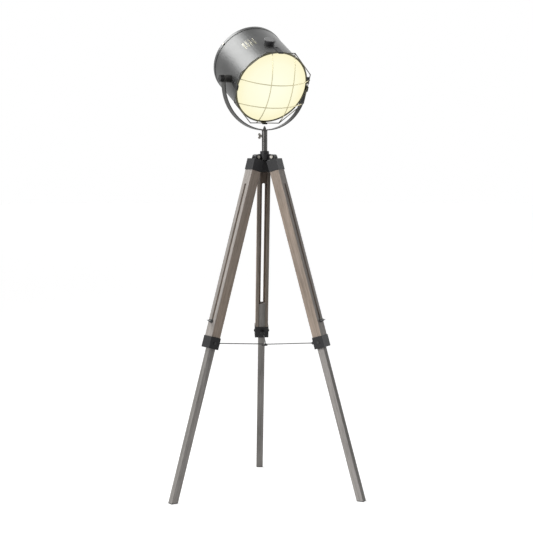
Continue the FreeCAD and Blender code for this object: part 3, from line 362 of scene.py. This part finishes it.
def ring_skin(name):
    """Gunmetal skirt and bead, and a bronze lip round the lens."""
    m = Nodes(name)
    at = m.local(HEAD)
    lip = m.fade(m.axes(at)["Z"], RING_LIP - 0.0003, RING_LIP + 0.0005)
    color, rough = sheet(m, at)
    m.surface({"Base Color": m.color_mix(lip, color, RING_FACE), "Roughness": rough, "Metallic": 1.0})
    return m.material


def guard_skin(name):
    """Dark wire, painted pale bronze where it crosses the lens: a painted highlight for the lens's glow on it.
    """
    edge = 0.004
    m = Nodes(name)
    at = m.local(HEAD)
    grime = m.noise(at, scale=60, detail=3)
    off_lens = m.fade(m.from_axis(at), LENS_RADIUS - edge, LENS_RADIUS + edge)
    # Over the lens the wire takes the pale colour, as a painted highlight of the glow.
    color = m.color_mix(m.math("SUBTRACT", 1.0, off_lens), WIRE_DARK, WIRE_LENS_GLARE)
    m.surface({
        "Base Color": m.color_mix(0.35, color, m.tones(grime, 0.55, 1), "MULTIPLY"),
        "Roughness": m.tones(grime, 0.3, 0.46),
        "Metallic": 0.9,
    })
    return m.material


def cap_skin(name, place, top):
    """Black cap, with a lighter grey top that is painted light where the cap faces up, and scuff specks; the
    grey begins just under the given height along the frame's Y.
    """
    m = Nodes(name)
    at = m.local(place)
    scuff = m.noise(at, scale=90, detail=4)
    # The cap's top face, which takes the painted light.
    painted_lit_top = m.fade(m.axes(at)["Y"], top - 0.0010, top - 0.0002)
    color = m.color_mix(painted_lit_top, CAP_WALL, CAP_TOP_PAINTED_LIGHT)
    m.bump(scuff, strength=0.1, depth=0.0003, eased=0.0008)
    m.surface({
        "Base Color": m.color_mix(0.4, color, m.tones(scuff, 0.5, 1), "MULTIPLY"),
        "Roughness": m.tones(scuff, 0.4, 0.56),
    })
    return m.material


def glowing_lens(name):
    """Frosted glass lit from behind: nearly white in the middle, a little creamier towards its edge."""
    m = Nodes(name)
    at = m.local(HEAD)
    radius = m.math("DIVIDE", m.from_axis(at), LENS_RADIUS)
    frost = m.noise(at, scale=700, detail=3)
    glow = m.ramp(radius, (0.25, GLOW_MIDDLE), (0.7, GLOW_HALFWAY), (0.98, GLOW_EDGE))
    m.bump(frost, strength=0.15, depth=0.0002)
    m.surface({
        "Emission Color": m.color_mix(0.05, glow, m.tones(frost, 0.6, 1), "MULTIPLY"),
        "Emission Strength": 1.0,
        "Base Color": GLASS,
        "Roughness": 0.45,
    })
    return m.material


def bulb_glow(name):
    """Opal glass of a lit bulb."""
    m = Nodes(name)
    haze = m.noise(m.coords(), scale=60, detail=2, rough=0.5)
    m.surface({
        "Emission Color": m.tones(haze, *BULB_GLOW),
        "Emission Strength": 40.0,
        "Base Color": BULB_GLASS,
        "Roughness": 0.3,
    })
    return m.material


def matt(name, light, dark, roughness):
    """Rubber or moulded plastic with a fine texture."""
    spread = 0.08
    m = Nodes(name)
    grain = m.noise(m.coords(), scale=300, detail=3)
    m.bump(grain, strength=0.25, depth=0.0003)
    m.surface({
        "Base Color": m.tones(grain, dark, light),
        "Roughness": m.tones(grain, roughness - spread, roughness + spread),
        "Specular IOR Level": 0.3,
    })
    return m.material


def paint(names, material):
    """Give each CAD node's every slot one material."""
    for name in names:
        data = nodes[name].data
        if not data.materials:
            data.materials.append(material)
        for index in range(len(data.materials)):
            data.materials[index] = material


black = metal("satin black steel", (0.014, 0.014, 0.015), (0.008, 0.008, 0.009), roughness=0.46,
              metallic=0.0, gloss=0.25)
gunmetal = metal("gunmetal sheet", SHEET_LIGHT, SHEET_DARK, roughness=0.4, brushed=HEAD)
dark_steel = metal("dark steel", (0.066, 0.065, 0.062), (0.042, 0.041, 0.039), roughness=0.42, metallic=0.7)
post = metal("burnished post", (0.085, 0.083, 0.08), (0.05, 0.049, 0.047), roughness=0.26)
plated = metal("plated fastener", (0.26, 0.245, 0.225), (0.16, 0.15, 0.135), roughness=0.3)
blackened = metal("blackened fastener", 0.05, 0.03, roughness=0.38, metallic=0.8)
worn_screw = metal("worn wing screw", 0.16, 0.05, roughness=0.34, metallic=0.9)
rod_steel = metal("steel rod", 0.05, 0.03, roughness=0.36)
knob = matt("moulded knob", 0.016, 0.009, roughness=0.5)
rubber = matt("black rubber", 0.03, 0.018, roughness=0.8)
holder = matt("holder body", 0.06, 0.04, roughness=0.4)
brass = metal("bulb brass", (0.62, 0.5, 0.28), (0.48, 0.38, 0.2), roughness=0.3)

for side, azimuth in LEG_AZIMUTHS.items():
    place = leg_matrix(azimuth)
    upper = wood(side + " upper oak", place, UPPER_FACES, UPPER_TONES, wear=0.45)
    lower = wood(side + " lower oak", place, LOWER_FACES, LOWER_TONES, wear=0.35)
    paint([side + "_upper_leg"], upper)
    paint([side + "_lower_leg"], lower)
    paint([side + "_leg_cap", side + "_clamp_sleeve"], black)
    paint([side + "_sleeve_screws", side + "_spreader_pin"], blackened)
    paint([side + "_leg_wing_screw"], worn_screw)
    paint([side + "_spreader_rod"], rod_steel)
    paint([side + "_foot_pad"], rubber)

paint(["hub", "post_collar", "spreader_plate", "guard_clips"], black)
paint(["rear_lid"], gunmetal)
paint(["front_bezel"], ring_skin("gunmetal ring"))
paint(["wire_guard"], guard_skin("guard wire"))
paint(["top_vent_cap"], cap_skin("vent cap", VENT_CAP, VENT_CAP_TOP))
paint(["post_tube", "yoke_spigot", "yoke_cap_nut"], post)
paint(["yoke_strap", "tilt_spacers", "holder_bracket"], dark_steel)
paint(["leg_hinge_bolts", "rear_lid_screws", "bracket_screws", "tilt_bolts", "post_wing_screw"], plated)
paint(["guard_clip_screws"], blackened)
paint(["left_tilt_knob", "right_tilt_knob", "cable_gland"], knob)
paint(["drum_shell"], drum_skin("gunmetal drum"))
paint(["diffuser_lens"], glowing_lens("lit frosted glass"))
paint(["lens_gasket"], rubber)
paint(["lamp_holder"], holder)
paint(["holder_screw_shell", "bulb_cap"], brass)
paint(["bulb_globe"], bulb_glow("lit bulb"))


# ---- the studio ----

def make_camera():
    """The photograph's view, level across and looking slightly down."""
    data = bpy.data.cameras.new("camera")
    data.sensor_fit = "HORIZONTAL"
    data.sensor_width = CAMERA_SENSOR
    data.lens = CAMERA_LENS
    data.clip_end = CAMERA_REACH
    camera = bpy.data.objects.new("camera", data)
    along_x, along_y = CAMERA_FROM_AXIS
    camera.location = (AXIS.x + along_x, AXIS.y + along_y, CAMERA_HEIGHT)
    camera.rotation_euler = Euler((math.radians(90 - CAMERA_DOWN), 0, math.radians(CAMERA_TURN)))
    scene.collection.objects.link(camera)
    scene.camera = camera


def seen_white(m):
    """1 for rays that show the background: from the camera, off metal and through glass."""
    path = m.add("ShaderNodeLightPath")
    seen = m.math("MAXIMUM", path.outputs["Is Camera Ray"], path.outputs["Is Glossy Ray"])
    return m.math("MAXIMUM", seen, path.outputs["Is Transmission Ray"])


def make_floor():
    """A pale floor that shows white to the camera and keeps the lamp's faint shadow."""
    bpy.ops.mesh.primitive_circle_add(vertices=FLOOR_SIDES, radius=FLOOR_RADIUS, fill_type="NGON",
                                      location=(0, 0, FLOOR_HEIGHT))
    floor = bpy.context.object
    floor.name = "floor"
    m = Nodes("pale floor")
    mottle = m.noise(m.coords(), scale=3, detail=3, rough=0.5)
    m.surface({
        "Base Color": m.tones(mottle, *FLOOR_TONES),
        "Roughness": 0.9,
        "Specular IOR Level": 0.1,
        "Emission Color": WHITE,
        "Emission Strength": m.math("MULTIPLY", seen_white(m), FLOOR_WHITE),
    })
    floor.data.materials.append(m.material)


def make_world():
    """White where it is seen as background, and a low even fill on the lamp."""
    world = bpy.data.worlds.new("studio")
    world.use_nodes = True
    background = world.node_tree.nodes["Background"]
    background.inputs["Color"].default_value = rgba(WHITE)
    m = Nodes("studio", world.node_tree)
    level = m.math("ADD", m.math("MULTIPLY", seen_white(m), 1 - SKY_FILL), SKY_FILL)
    m.link(level, background.inputs["Strength"])
    scene.world = world


def hang(name, data, place, aim):
    """Put a lamp at a place, shining along a direction."""
    lamp = bpy.data.objects.new(name, data)
    lamp.location = place
    lamp.rotation_euler = aim.to_track_quat("-Z", "Y").to_euler()
    scene.collection.objects.link(lamp)


def far_light(name, toward, level, width):
    """A broad light from far off: level 1 renders a white face square to it as white."""
    data = bpy.data.lights.new(name, "SUN")
    data.energy = level * math.pi
    data.angle = math.radians(width)
    hang(name, data, (0, 0, FAR_LIGHT_HEIGHT), -Vector(toward))


def softbox(name, place, aim, side, power):
    """A square area light aimed at a point."""
    data = bpy.data.lights.new(name, "AREA")
    data.shape = "RECTANGLE"
    data.size = side
    data.size_y = side
    data.energy = power
    hang(name, data, place, aim - Vector(place))


make_camera()
make_floor()
make_world()
for name, (toward, level, width) in FAR_LIGHTS.items():
    far_light(name, toward, level, width)
softbox("softbox", SOFTBOX_PLACE, PIVOT, SOFTBOX_SIDE, SOFTBOX_POWER)

scene.view_settings.view_transform = "Standard"
